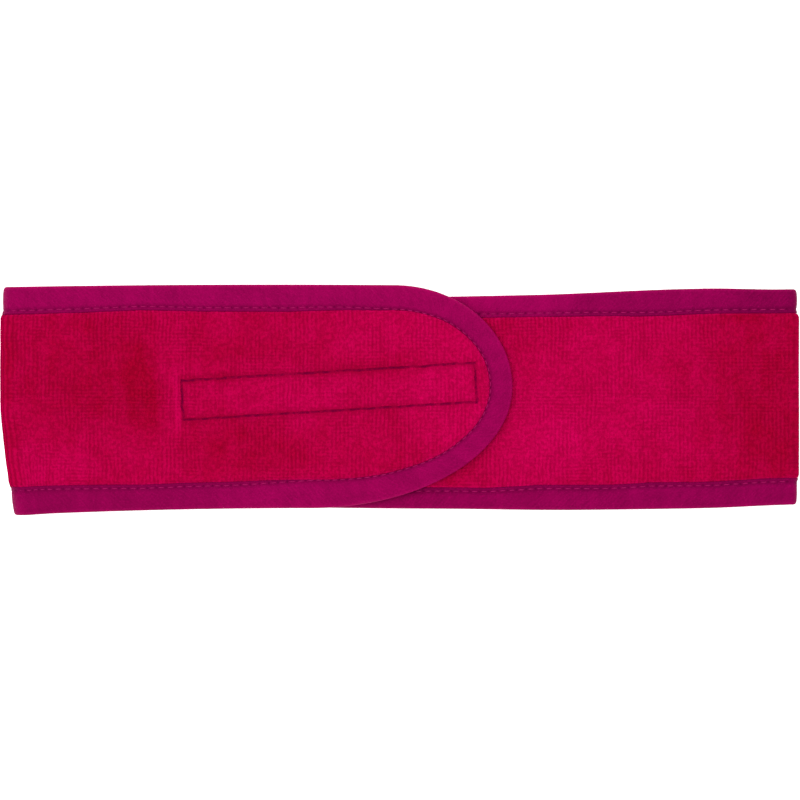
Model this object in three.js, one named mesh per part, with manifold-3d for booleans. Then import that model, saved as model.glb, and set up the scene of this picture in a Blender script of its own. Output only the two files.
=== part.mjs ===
// A wrap-around towelling headband, closed and lying flat: one strip of velour towelling,
// bound all round with bias tape, that closes with a hook tape and a loop tape.
// The strip lies in three layers. The back layer is at the bottom. At the right fold the strip
// comes back as the underlap, and at the left fold as the flap, whose round end lies on top.
// Millimetres, +Z up. X runs along the band and Y across it. The origin is at the middle of the
// length and the width, on the surface that the band lies on.

import * as THREE from 'three';
import { mergeVertices } from 'three/addons/utils/BufferGeometryUtils.js';
import Module from 'manifold-3d';

const wasm = await Module();
wasm.setup();

// ---- Driving dimensions ----

const foldedLength = 270; // outside of the left fold to outside of the right fold
const clothThickness = 2.6; // one layer of towelling, pile included
const layerGap = 0.4; // air between two layers that lie on each other
const clearance = 0.3; // between pieces that are sewn together or turn past each other

// Where the back's edges lie in Y at the left fold, half way along and at the right fold.
const backTop = { left: 38.2, middle: 34.6, right: 37.5 };
const backBottom = { left: -38.9, middle: -35.2, right: -35.4 };

// The flap and the underlap start at a fold with the back's edges, and end in a nose: the top
// edge turns at topX and the bottom edge at bottomX, each in a quarter ellipse to the tip.
const flapEdges = { topMiddle: 38.9, topTurn: 38.8, bottomMiddle: -37.1, bottomTurn: -36.5 };
const flapNose = { tipX: 37.9, tipY: 4.4, topX: -2, bottomX: -30 };
const underlapEdges = { topMiddle: 35.4, topTurn: 33.6, bottomMiddle: -36.8, bottomTurn: -35.8 };
const underlapNose = { tipX: -86, tipY: -1, topX: -57, bottomX: -57 };

const bindingWidth = 8.4; // visible face of the bias binding, on each side of the strip
const bindingWing = 0.8; // thickness of the folded tape on each face
const bindingRoll = 1.2; // tape between the strip's raw edge and the outside

const seamInset = 1.2; // stitch line to the inner edge of the binding
const threadWidth = 0.4;
const threadHeight = 0.25;

const tapeThickness = 0.9;
const tapeProud = 0.05; // how far each tape stands out of the pile that it is sewn into
const hookTape = { length: 102, width: 16, centreX: -23.9, centreY: 2.9, tiltDeg: 3.5 };
const loopTape = { length: 102, width: 25, centreX: -22, centreY: -0.5, tiltDeg: 0 };
const tapeSeamInset = 1.4; // box stitch to the edge of its tape

const curvePoints = 6; // straight pieces along one edge of a layer
const noseSegments = 12; // straight pieces in each quarter of a nose
const foldSegments = 8; // straight pieces round the right fold

// ---- Worked out from them ----

const layerPitch = clothThickness + layerGap;
const foldRadius = (clothThickness + layerPitch) / 2; // outside of the right fold
const rightTurnX = foldedLength / 2 - foldRadius;
const hingeGap = clearance / 2; // on each side of a hinge line
const leftFoldX = -foldedLength / 2 + clothThickness + hingeGap; // inside of the left fold
const flapZ = 2 * layerPitch;
const underlapTopZ = layerPitch + clothThickness;
const past = 5; // how far a cutter runs past what it cuts

const tongue = [bindingWing + clearance, clothThickness - bindingWing - clearance];
const channel = [bindingWing, clothThickness - bindingWing];
const seamLine = bindingWidth - seamInset;
const outerThread = [0, threadHeight];
const outerGroove = [-past, threadHeight + clearance];
const innerThread = [clothThickness - threadHeight, clothThickness];
const innerGroove = [clothThickness - threadHeight - clearance, clothThickness + layerGap / 4];

// ---- Materials ----

const finish = (color, roughness) => new THREE.MeshStandardMaterial({ color, roughness, metalness: 0 });
const velour = finish(0xb80242, 0.95);
const biasTape = finish(0x9a044d, 0.8);
const sewingThread = finish(0xaa1e64, 0.6);
const hookNylon = finish(0x8a1148, 0.5);
const loopNylon = finish(0x9c1a55, 0.9);

// ---- Solids ----

const at = (x, y) => new THREE.Vector2(x, y);

function solidOf(geometry) {
  geometry.deleteAttribute('normal');
  geometry.deleteAttribute('uv');
  const merged = mergeVertices(geometry, 1e-4);
  const mesh = new wasm.Mesh({
    numProp: 3,
    vertProperties: merged.attributes.position.array,
    triVerts: new Uint32Array(merged.index.array),
  });
  return new wasm.Manifold(mesh);
}

// A plan outline, given as points, standing between two heights.
function prism(points, lowZ, highZ) {
  const shape = new THREE.Shape(points);
  const geometry = new THREE.ExtrudeGeometry(shape, { depth: highZ - lowZ, bevelEnabled: false });
  geometry.translate(0, 0, lowZ);
  return solidOf(geometry);
}

function block(low, high) {
  const points = [at(low[0], low[1]), at(high[0], low[1]), at(high[0], high[1]), at(low[0], high[1])];
  return prism(points, low[2], high[2]);
}

// A side profile in X and Z, carried across the whole width of the band.
function acrossBand(profile) {
  const width = 2 * (Math.abs(backBottom.left) + past);
  const geometry = new THREE.ExtrudeGeometry(profile, {
    depth: width,
    bevelEnabled: false,
    curveSegments: foldSegments,
  });
  geometry.rotateX(Math.PI / 2);
  geometry.translate(0, width / 2, 0);
  return solidOf(geometry);
}

// ---- Outlines ----

// Points of the parabola from start to end that is at middleY half way along.
function edgeCurve(start, middleY, end) {
  const control = at((start.x + end.x) / 2, 2 * middleY - (start.y + end.y) / 2);
  return new THREE.QuadraticBezierCurve(start, control, end).getPoints(curvePoints);
}

// The plan of a layer that ends in a nose, with every edge moved in by inset, except at the fold.
function nosePlan(foldX, foldTop, foldBottom, edges, nose, inset) {
  const side = Math.sign(nose.tipX - foldX);
  const top = edgeCurve(
    at(foldX, foldTop - inset),
    edges.topMiddle - inset,
    at(nose.topX, edges.topTurn - inset),
  );
  const bottom = edgeCurve(
    at(nose.bottomX, edges.bottomTurn + inset),
    edges.bottomMiddle + inset,
    at(foldX, foldBottom + inset),
  );
  const reach = (startX) => Math.abs(nose.tipX - startX) - inset;
  const round = [];
  for (let i = 1; i < 2 * noseSegments; i += 1) {
    const angle = Math.PI / 2 - (i * Math.PI) / (2 * noseSegments);
    const upper = angle > 0;
    const startX = upper ? nose.topX : nose.bottomX;
    const height = upper ? edges.topTurn - inset - nose.tipY : nose.tipY - edges.bottomTurn - inset;
    const x = startX + side * reach(startX) * Math.cos(angle);
    round.push(at(x, nose.tipY + height * Math.sin(angle)));
  }
  return [...top, ...round, ...bottom];
}

function flapPlan(inset) {
  const foldX = leftFoldX + hingeGap;
  return nosePlan(foldX, backTop.left, backBottom.left, flapEdges, flapNose, inset);
}

// The underlap's and the back's plans run on past the right fold, which the profile ends. A plan
// that is moved in runs on further, so that it cuts right through one that isn't.
function pastRightFold(points, inset) {
  const x = rightTurnX + foldRadius + past + inset;
  return [...points, at(x, backBottom.right + inset), at(x, backTop.right - inset)];
}

function underlapPlan(inset) {
  const plan = nosePlan(rightTurnX, backTop.right, backBottom.right, underlapEdges, underlapNose, inset);
  return pastRightFold(plan, inset);
}

function backPlan(inset) {
  const startX = leftFoldX + hingeGap;
  const top = edgeCurve(
    at(rightTurnX, backTop.right - inset),
    backTop.middle - inset,
    at(startX, backTop.left - inset),
  );
  const bottom = edgeCurve(
    at(startX, backBottom.left + inset),
    backBottom.middle + inset,
    at(rightTurnX, backBottom.right + inset),
  );
  return pastRightFold([...top, ...bottom], inset);
}

// ---- The back and the underlap: one strip, turned round the right fold ----

// The part of the strip's thickness from depth a to depth b, measured from its outer face.
function bandShell(a, b) {
  const profile = new THREE.Shape();
  const endX = leftFoldX + hingeGap;
  profile.moveTo(endX, a);
  profile.lineTo(rightTurnX, a);
  profile.absarc(rightTurnX, foldRadius, foldRadius - a, -Math.PI / 2, Math.PI / 2, false);
  profile.lineTo(underlapNose.tipX - past, 2 * foldRadius - a);
  profile.lineTo(underlapNose.tipX - past, 2 * foldRadius - b);
  profile.lineTo(rightTurnX, 2 * foldRadius - b);
  profile.absarc(rightTurnX, foldRadius, foldRadius - b, Math.PI / 2, -Math.PI / 2, true);
  profile.lineTo(endX, b);
  profile.closePath();
  return acrossBand(profile);
}

// The back's plan holds below the gap and the underlap's above it. They meet inside the gap.
function bandRegion(inset) {
  const overlap = layerGap / 4;
  const below = prism(backPlan(inset), -past - inset, foldRadius + overlap);
  const above = prism(underlapPlan(inset), foldRadius - overlap, flapZ + past + inset);
  return below.add(above);
}

// The layer between two depths, inside the outline moved in by inset.
function bandLayer([a, b], inset) {
  return bandShell(a, b).intersect(bandRegion(inset));
}

// A strip along the layer's edges, between the outline moved in by from and by to.
function bandEdging([a, b], from, to) {
  return bandShell(a, b).intersect(bandRegion(from).subtract(bandRegion(to)));
}

// ---- The flap: a flat layer, whose outer face is its top ----

function flapLayer([a, b], inset) {
  return prism(flapPlan(inset), flapZ + clothThickness - b, flapZ + clothThickness - a);
}

function flapEdging([a, b], from, to) {
  return flapLayer([a, b], from).subtract(flapLayer([a - past, b + past], to));
}

// ---- What both layers are made of ----

const wholeLayer = [0, clothThickness];

// The towelling fills the layer up to the binding, and its edge runs on inside the binding.
function towelling(layer) {
  return layer(wholeLayer, bindingWidth + clearance).add(layer(tongue, bindingRoll + clearance));
}

function seam(edging, depths, spread) {
  const half = threadWidth / 2 + spread;
  return edging(depths, seamLine - half, seamLine + half);
}

// The tape is folded round the strip's edge, with a channel for it and a groove for each thread.
function binding(edging) {
  return edging(wholeLayer, 0, bindingWidth)
    .subtract(edging(channel, bindingRoll, bindingWidth + past))
    .subtract(seam(edging, outerGroove, clearance))
    .subtract(seam(edging, innerGroove, clearance));
}

// ---- Hook tape and loop tape ----

// A slab of a tape's outline, grown by spread on every side, between two heights.
function tapeSlab(tape, spread, lowZ, highZ) {
  const halfLength = tape.length / 2 + spread;
  const halfWidth = tape.width / 2 + spread;
  return block([-halfLength, -halfWidth, lowZ], [halfLength, halfWidth, highZ])
    .rotate([0, 0, tape.tiltDeg])
    .translate([tape.centreX, tape.centreY, 0]);
}

// The box stitch of a tape: a closed line of thread, seamInset inside the tape's edge.
function boxStitch(tape, spread, lowZ, highZ) {
  const half = threadWidth / 2 + spread;
  return tapeSlab(tape, half - tapeSeamInset, lowZ, highZ).subtract(
    tapeSlab(tape, -half - tapeSeamInset, lowZ, highZ),
  );
}

const flapTopZ = flapZ + clothThickness;
const hookLowZ = flapZ - tapeProud;
const hookHighZ = hookLowZ + tapeThickness;
// A corner of the tape that would reach the flap's seam is trimmed.
const insideFlapSeam = prism(flapPlan(seamLine + threadWidth / 2 + clearance), flapZ - past, flapTopZ);
const hookSlab = tapeSlab(hookTape, 0, hookLowZ, hookHighZ).intersect(insideFlapSeam);
const hookPocket = tapeSlab(hookTape, clearance, flapZ - past, hookHighZ + clearance);
const hookStitchGroove = boxStitch(hookTape, clearance, flapTopZ - threadHeight - clearance, flapTopZ + past);
const hookStitch = boxStitch(hookTape, 0, flapTopZ - threadHeight, flapTopZ);

const loopHighZ = underlapTopZ + tapeProud;
const loopLowZ = loopHighZ - tapeThickness;
const loopPocket = tapeSlab(loopTape, clearance, loopLowZ - clearance, underlapTopZ + past);
const loopStitchGroove = boxStitch(loopTape, clearance, loopHighZ - threadHeight - clearance, loopHighZ + past);
const loopStitch = boxStitch(loopTape, 0, loopHighZ - threadHeight, loopHighZ);

// ---- The left fold: a narrow spine between the back and the flap ----
// It turns on the back at its lower inner corner, and the flap turns on it at its upper one.

const spineLowZ = clothThickness + hingeGap;
const spineHighZ = flapZ - hingeGap;
const spineInnerX = leftFoldX - hingeGap;

// A block of the spine between two Y values, from depth a to depth b from its outer face.
function spinePiece([a, b], lowY, highY) {
  const outerX = spineInnerX - clothThickness;
  return block([outerX + a, lowY, spineLowZ], [outerX + b, highY, spineHighZ]);
}

const spineCloth = spinePiece(
  wholeLayer,
  backBottom.left + bindingWidth + clearance,
  backTop.left - bindingWidth - clearance,
).add(
  spinePiece(tongue, backBottom.left + bindingRoll + clearance, backTop.left - bindingRoll - clearance),
);

// One edge of the spine. side is 1 at the top edge and -1 at the bottom edge.
function spineEdge(side) {
  const edgeY = side > 0 ? backTop.left : backBottom.left;
  const strip = (depths, from, to) => {
    const ends = [edgeY - side * from, edgeY - side * to];
    return spinePiece(depths, Math.min(...ends), Math.max(...ends));
  };
  const threadEdge = threadWidth / 2;
  return {
    binding: strip(wholeLayer, 0, bindingWidth)
      .subtract(strip(channel, bindingRoll, bindingWidth + past))
      .subtract(
        strip(outerGroove, seamLine - threadEdge - clearance, seamLine + threadEdge + clearance),
      ),
    thread: strip(outerThread, seamLine - threadEdge, seamLine + threadEdge),
  };
}

const spineTop = spineEdge(1);
const spineBottom = spineEdge(-1);

// ---- The assembly ----

const headband = new THREE.Group();

function addPart(group, name, solid, material) {
  const { vertProperties, triVerts } = solid.getMesh();
  const geometry = new THREE.BufferGeometry();
  geometry.setAttribute('position', new THREE.BufferAttribute(vertProperties, 3));
  geometry.setIndex(new THREE.BufferAttribute(triVerts, 1));
  geometry.computeVertexNormals();
  const mesh = new THREE.Mesh(geometry, material);
  mesh.name = name;
  group.add(mesh);
}

// The band: the back layer, the right fold and the underlap, with the loop tape.
const band = new THREE.Group();
addPart(band, 'towelling_band', towelling(bandLayer).subtract(loopPocket), velour);
addPart(band, 'binding_band', binding(bandEdging).subtract(loopPocket), biasTape);
addPart(band, 'binding_needle_thread_band', seam(bandEdging, outerThread, 0), sewingThread);
addPart(band, 'binding_bobbin_thread_band', seam(bandEdging, innerThread, 0), sewingThread);
addPart(
  band,
  'loop_tape',
  tapeSlab(loopTape, 0, loopLowZ, loopHighZ).subtract(loopStitchGroove),
  loopNylon,
);
addPart(band, 'loop_tape_thread', loopStitch, sewingThread);

// The left fold.
const leftFold = new THREE.Group();
addPart(leftFold, 'towelling_left_fold', spineCloth, velour);
addPart(leftFold, 'binding_left_fold_top', spineTop.binding, biasTape);
addPart(leftFold, 'binding_left_fold_bottom', spineBottom.binding, biasTape);
addPart(leftFold, 'binding_thread_left_fold_top', spineTop.thread, sewingThread);
addPart(leftFold, 'binding_thread_left_fold_bottom', spineBottom.thread, sewingThread);

// The flap, with the hook tape on its underside.
const flap = new THREE.Group();
addPart(
  flap,
  'towelling_flap',
  towelling(flapLayer).subtract(hookPocket).subtract(hookStitchGroove),
  velour,
);
addPart(flap, 'binding_flap', binding(flapEdging).subtract(hookPocket), biasTape);
addPart(flap, 'binding_needle_thread_flap', seam(flapEdging, outerThread, 0), sewingThread);
addPart(flap, 'binding_bobbin_thread_flap', seam(flapEdging, innerThread, 0), sewingThread);
addPart(flap, 'hook_tape', hookSlab, hookNylon);
addPart(flap, 'hook_tape_thread', hookStitch, sewingThread);

headband.add(band, leftFold, flap);

export default headband;
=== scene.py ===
import math

import bmesh
import bpy
import numpy as np
from mathutils import Matrix, Vector, noise


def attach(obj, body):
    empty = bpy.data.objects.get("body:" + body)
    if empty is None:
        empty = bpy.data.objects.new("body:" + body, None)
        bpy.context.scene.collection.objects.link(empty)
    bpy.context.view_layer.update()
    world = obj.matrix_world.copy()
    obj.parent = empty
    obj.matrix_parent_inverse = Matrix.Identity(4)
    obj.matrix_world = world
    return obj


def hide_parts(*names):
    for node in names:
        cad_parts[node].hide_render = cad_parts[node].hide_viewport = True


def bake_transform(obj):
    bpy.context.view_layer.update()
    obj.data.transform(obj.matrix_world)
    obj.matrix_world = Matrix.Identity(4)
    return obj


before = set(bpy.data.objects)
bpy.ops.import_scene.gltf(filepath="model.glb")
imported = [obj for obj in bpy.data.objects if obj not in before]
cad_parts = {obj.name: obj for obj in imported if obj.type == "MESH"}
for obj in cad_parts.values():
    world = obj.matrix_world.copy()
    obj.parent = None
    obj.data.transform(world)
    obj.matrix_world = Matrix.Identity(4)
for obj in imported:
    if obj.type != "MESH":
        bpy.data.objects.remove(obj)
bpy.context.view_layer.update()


# ---- Towelling of the band ----
# One strip of velour towelling: cut pile on both faces of a woven ground. It runs from the round
# end of the underlap to the right fold, back under everything, and up round the left fold, where
# the flap's towelling goes on from it. Its raw edge is caught inside the binding.

MM = 0.001
pile_height = 1.32  # from the middle of the cloth to the tips of the pile, on each face, in mm
ground_half = 0.45  # the same where the binding presses the cloth flat
pile_round = 1.5  # how far from the binding the pile reaches its full height
raw_edge = 1.9  # the cloth ends this far inside the outside of the binding

# The folds' centres and their radii to the middle of the cloth, and the heights of the layers.
left_fold_x, left_fold_z, left_fold_r = -130.7, 4.3, 3.0
right_fold_x, right_fold_z, right_fold_r = 132.2, 2.8, 1.5
back_z, flap_z = 1.3, 7.3

# Along the band from the tip of the underlap: where each fold starts and ends, and its middle.
underlap_tip_x, right_fold_start = -86.0, 218.2
right_fold_end = right_fold_start + math.pi * right_fold_r
left_fold_start = right_fold_end + right_fold_x - left_fold_x
right_fold_middle, left_fold_middle = 220.5, 488.5
half_fold = 4.0  # half the length of cloth that counts as a fold, where the mesh is finer


def smooth(value, low, high):
    t = np.clip((value - low) / (high - low), 0.0, 1.0)
    return t * t * (3.0 - 2.0 * t)


def bow(s, start, start_y, middle_y, end, end_y):
    """A shallow bow through three heights, the second one half way along."""
    t = np.clip((s - start) / (end - start), 0.0, 1.0)
    control = 2.0 * middle_y - (start_y + end_y) / 2.0
    return (1 - t) ** 2 * start_y + 2 * t * (1 - t) * control + t * t * end_y


def lumps(along, across, size, seed):
    """Soft unevenness between -1 and 1, the same on every run."""
    points = zip((along / size).tolist(), (across / size).tolist())
    return np.array([noise.noise((a, b, seed)) for a, b in points])


def fold_shift(y):
    """The left fold isn't square: it slants inwards below the middle, and is tucked in by the
    binding at both edges."""
    slant = 0.121 * np.logaddexp(0.0, (-y - 4.5) / 2.2) * 2.2
    tuck = 0.62 * smooth(y, 27.5, 31.5) + 0.15 * smooth(-y, 28.0, 31.5)
    return np.minimum(slant, 4.0) + tuck


class Strip:
    """A bound strip with a round end. s is the distance along the strip from the tip of its round
    end, y is across it, and h is the height over the middle of the cloth towards its outer face."""

    def __init__(self, length, tip_y, top_turn, bottom_turn, top, bottom, top_width, bottom_width, place):
        self.length, self.tip_y = length, tip_y
        self.top_turn, self.bottom_turn = top_turn, bottom_turn
        self.top, self.bottom = top, bottom
        self.top_width, self.bottom_width = top_width, bottom_width
        self.place = place

    def inset(self, s, y):
        """How far a point lies inside the outline."""
        top, bottom = self.top(s) - y, y - self.bottom(s)
        found = np.minimum(top, bottom)
        for turn, side in ((self.top_turn, 1), (self.bottom_turn, -1)):
            here = (s < turn) & (side * (y - self.tip_y) >= 0)
            if not here.any():
                continue
            edge = self.top(s) if side > 0 else self.bottom(s)
            reach = turn - s[here]
            rise = side * (y - self.tip_y)[here]
            height = (side * (edge - self.tip_y))[here]
            low = np.zeros(reach.shape)
            high = np.minimum(turn, height) - 0.01
            for _ in range(22):
                mid = (low + high) / 2
                inside = (reach / (turn - mid)) ** 2 + (rise / (height - mid)) ** 2 < 1
                low, high = np.where(inside, mid, low), np.where(inside, high, mid)
            found[here] = low
        return found

    def width(self, s, y):
        """The visible width of the binding nearest to a point."""
        upper = self.top_width(s)
        lower = self.bottom_width(s)
        share = smooth(y - self.tip_y, -14.0, 14.0)
        return lower + (upper - lower) * share


def place_band(s, y, h):
    turn = np.clip((s - right_fold_start) / right_fold_r, 0, math.pi)
    rise = np.clip((s - left_fold_start) / left_fold_r, 0, math.pi / 2)
    over = s < right_fold_end
    folded = (s > right_fold_start) & over
    tuck = 0.55 * (smooth(y, 27.5, 31.0) + smooth(-y, 26.0, 29.5)) * np.sin(turn)
    x = np.where(over, underlap_tip_x + np.minimum(s, right_fold_start), right_fold_x - (s - right_fold_end))
    x = np.where(folded, right_fold_x + (right_fold_r + h) * np.sin(turn) - tuck, x)
    z = np.where(over, right_fold_z + (right_fold_r + h) * np.cos(turn), back_z - h)
    x = np.where(s > left_fold_start, left_fold_x - (left_fold_r + h) * np.sin(rise), x)
    z = np.where(s > left_fold_start, left_fold_z - (left_fold_r + h) * np.cos(rise), z)
    x = x + fold_shift(y) * smooth(s, left_fold_start - 14.0, left_fold_start + 1.0)
    return np.stack([x, y, z], axis=1)


def band_top(s):
    under = bow(s, 29.0, 33.6, 35.4, right_fold_start, 37.5)
    under = under + 0.9 * smooth(s, 130.0, 182.0) * (1 - smooth(s, 188.0, 217.0))
    back = bow(s, 222.9, 37.5, 34.6, 485.8, 38.2)
    return np.where(s < right_fold_middle, under, back)


def band_bottom(s):
    under = bow(s, 29.0, -35.8, -36.8, right_fold_start, -35.4)
    under = under - 0.5 * smooth(s, 100.0, 145.0) * (1 - smooth(s, 188.0, 217.0))
    back = bow(s, 222.9, -35.4, -35.2, 485.8, -38.9)
    return np.where(s < right_fold_middle, under, back)


def band_top_width(s):
    return np.interp(
        s, [0, 130, 150, 168, 178, 192, 206, 222, 300, 486],
        [7.4, 7.4, 7.9, 8.8, 8.8, 8.5, 8.2, 8.0, 8.0, 8.9],
    )


def band_bottom_width(s):
    return np.interp(
        s, [0, 60, 115, 133, 158, 170, 184, 200, 210, 222, 300, 486],
        [7.4, 7.2, 7.2, 8.4, 8.4, 9.0, 8.9, 9.0, 9.2, 9.0, 8.4, 8.8],
    )


band_strip = Strip(
    left_fold_start + left_fold_r * math.pi / 2,
    -1.0, 29.0, 29.0, band_top, band_bottom, band_top_width, band_bottom_width, place_band,
)


def spaced(length, spacing):
    """Places along a length, as far apart as spacing says at each."""
    fine = np.linspace(0.0, length, 6000)
    total = np.concatenate([[0.0], np.cumsum(np.diff(fine) / spacing((fine[1:] + fine[:-1]) / 2))])
    return np.interp(np.linspace(0.0, total[-1], int(total[-1]) + 1), total, fine)


def write_points(mesh, points):
    mesh.vertices.foreach_set("co", (points * MM).astype(np.float32).ravel())
    mesh.update()


def read_points(mesh):
    points = np.empty(len(mesh.vertices) * 3, np.float32)
    mesh.vertices.foreach_get("co", points)
    return points.reshape(-1, 3).astype(float)


def cloth_map(mesh, along, across):
    """A map of the cloth, in millimetres along and across it."""
    layer = mesh.uv_layers.new(name="cloth")
    corner = np.empty(len(mesh.loops), np.int32)
    mesh.loops.foreach_get("vertex_index", corner)
    layer.data.foreach_set("uv", np.stack([along[corner], across[corner]], axis=1).astype(np.float32).ravel())


def finished(name, mesh):
    """The piece that a mesh makes, with its faces outwards and smooth."""
    bm = bmesh.new()
    bm.from_mesh(mesh)
    bmesh.ops.recalc_face_normals(bm, faces=bm.faces[:])
    for face in bm.faces:
        face.smooth = True
    bm.to_mesh(mesh)
    bm.free()
    piece = bpy.data.objects.new(name, mesh)
    bpy.context.scene.collection.objects.link(piece)
    return piece


def cloth_grid(name, columns, rows):
    """A flat closed slab, two long, two wide and one thick, ready to be shaped."""
    bm = bmesh.new()
    bmesh.ops.create_grid(bm, x_segments=columns, y_segments=rows, size=1.0)
    bmesh.ops.solidify(bm, geom=bm.faces[:], thickness=1.0)
    mesh = bpy.data.meshes.new(name)
    bm.to_mesh(mesh)
    bm.free()
    return mesh


def towelling_piece(name, strip, spacing, rows, nose_zone, relief):
    """A strip's towelling. Columns bend round its end as far as nose_zone, and relief gives what
    each face stands proud or lies sunk."""
    columns = spaced(strip.length, spacing)
    mesh = cloth_grid(name, len(columns) - 1, rows)
    points = read_points(mesh)
    g = columns[np.rint((points[:, 0] + 1) / 2 * (len(columns) - 1)).astype(int)]
    v = 0.45 * points[:, 1] + 0.55 * np.sin(points[:, 1] * math.pi / 2)
    outer = np.where(np.abs(points[:, 2]) < 0.5, 1.0, -1.0)
    turn = np.where(v > 0, strip.top_turn, strip.bottom_turn)
    nose = turn - (turn - raw_edge) * np.sqrt(np.clip(1 - v * v, 0, 1))
    s = g + nose * (1 - smooth(g, 0.0, nose_zone))
    edge = np.where(v > 0, strip.top(s) - raw_edge, strip.bottom(s) + raw_edge)
    y = strip.tip_y + np.abs(v) * (edge - strip.tip_y)
    inside = strip.inset(s, y) - strip.width(s, y) + 0.16 * lumps(s, y, 1.1, 41.0)
    rise = np.sqrt(np.clip(1 - (1 - np.clip(inside / pile_round, 0, 1)) ** 2, 0, 1))
    h = ground_half + (pile_height - ground_half) * rise
    h = h + relief(s, y, outer, inside) * smooth(inside, 0.2, 1.6)
    write_points(mesh, strip.place(s, y, outer * h))
    cloth_map(mesh, s, y)
    mesh.attributes.new("from_binding", "FLOAT", "POINT").data.foreach_set("value", inside.astype(np.float32))
    return finished(name, mesh)


def in_box(x, y, centre, tilt, half_length, half_width):
    """How far a point lies outside a tilted box; it is negative inside."""
    c, q = math.cos(math.radians(tilt)), math.sin(math.radians(tilt))
    along = (x - centre[0]) * c + (y - centre[1]) * q
    across = (y - centre[1]) * c - (x - centre[0]) * q
    return np.maximum(np.abs(along) - half_length, np.abs(across) - half_width)


# The loop tape lies in a hollow that it presses in the underlap's outer face.
loop_centre, loop_half_length, loop_half_width = (-22.0, -0.5), 51.0, 12.5


def band_relief(s, y, outer, inside):
    puff = 0.05 * lumps(s, y, 9.0, 3.1) + 0.035 * lumps(s, y, 2.3, 7.7) - 0.03
    tape = in_box(s + underlap_tip_x, y, loop_centre, 0.0, loop_half_length, loop_half_width)
    pocket = (1.0 - smooth(tape, 0.0, 0.5)) * (outer > 0) * (s < 200)
    return puff * (1 - pocket) - 1.05 * pocket


def from_band_folds(s):
    """How far a place on the band is outside the nearer fold."""
    return np.minimum(np.abs(s - right_fold_middle), np.abs(s - left_fold_middle)) - half_fold


def band_spacing(s):
    return 0.4 + 0.62 * smooth(from_band_folds(s), 0.0, 6.0) * smooth(s, 2.0, 14.0)


class Value:
    """A value in a material's nodes, which can be added, multiplied and so on."""

    def __init__(self, tree, socket):
        self.tree, self.socket = tree, socket

    def make(self, kind, settings=None, inputs=None, output=0):
        made = self.tree.nodes.new(kind)
        for name, setting in (settings or {}).items():
            setattr(made, name, setting)
        for name, given in (inputs or {}).items():
            if isinstance(given, Value):
                self.tree.links.new(given.socket, made.inputs[name])
            else:
                made.inputs[name].default_value = given
        return Value(self.tree, made.outputs[output])

    def math(self, operation, *others):
        return self.make("ShaderNodeMath", {"operation": operation}, dict(enumerate((self, *others))))

    def __add__(self, other):
        if isinstance(other, tuple):
            return self.make("ShaderNodeVectorMath", {"operation": "ADD"}, {0: self, 1: other})
        return self.math("ADD", other)

    __radd__ = __add__

    def __mul__(self, other):
        return self.math("MULTIPLY", other)

    __rmul__ = __mul__

    def __sub__(self, other):
        return self.math("SUBTRACT", other)

    def __rsub__(self, other):
        return (self * -1.0) + other

    def __truediv__(self, other):
        return self.math("DIVIDE", other)

    def __pow__(self, other):
        return self.math("POWER", other)

    def step(self, low, high, start=0.0, end=1.0):
        return self.make(
            "ShaderNodeMapRange", {"interpolation_type": "SMOOTHSTEP"},
            {0: self, 1: low, 2: high, 3: start, 4: end},
        )

    def colour(self, first, second):
        """From the first colour at 0 to the second at 1."""
        return self.make("ShaderNodeMix", {"data_type": "RGBA"}, {0: self, 6: first, 7: second}, output=2)

    def parts(self):
        made = self.tree.nodes.new("ShaderNodeSeparateXYZ")
        self.tree.links.new(self.socket, made.inputs[0])
        return [Value(self.tree, made.outputs[i]) for i in range(3)]

    def scaled(self, x, y, z=1.0):
        return self.make(
            "ShaderNodeVectorMath", {"operation": "MULTIPLY"}, {0: self, 1: (x, y, z)},
        )

    def cells(self, randomness):
        return self.make("ShaderNodeTexVoronoi", {}, {"Vector": self, "Scale": 1.0, "Randomness": randomness})

    def noise(self, scale, detail=2.0, roughness=0.5):
        return self.make(
            "ShaderNodeTexNoise", {"noise_dimensions": "3D"},
            {"Vector": self, "Scale": scale, "Detail": detail, "Roughness": roughness},
        )


def new_finish(name, viewport):
    material = bpy.data.materials.new(name)
    material.use_nodes = True
    material.diffuse_color = (*viewport, 1.0)
    tree = material.node_tree
    uv = tree.nodes.new("ShaderNodeUVMap")
    uv.uv_map = "cloth"
    return material, tree.nodes["Principled BSDF"], Value(tree, uv.outputs[0])


def connect(shader, socket, value):
    value.tree.links.new(value.socket, shader.inputs[socket])


rib_pitch, row_pitch = 1.36, 1.18


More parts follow.
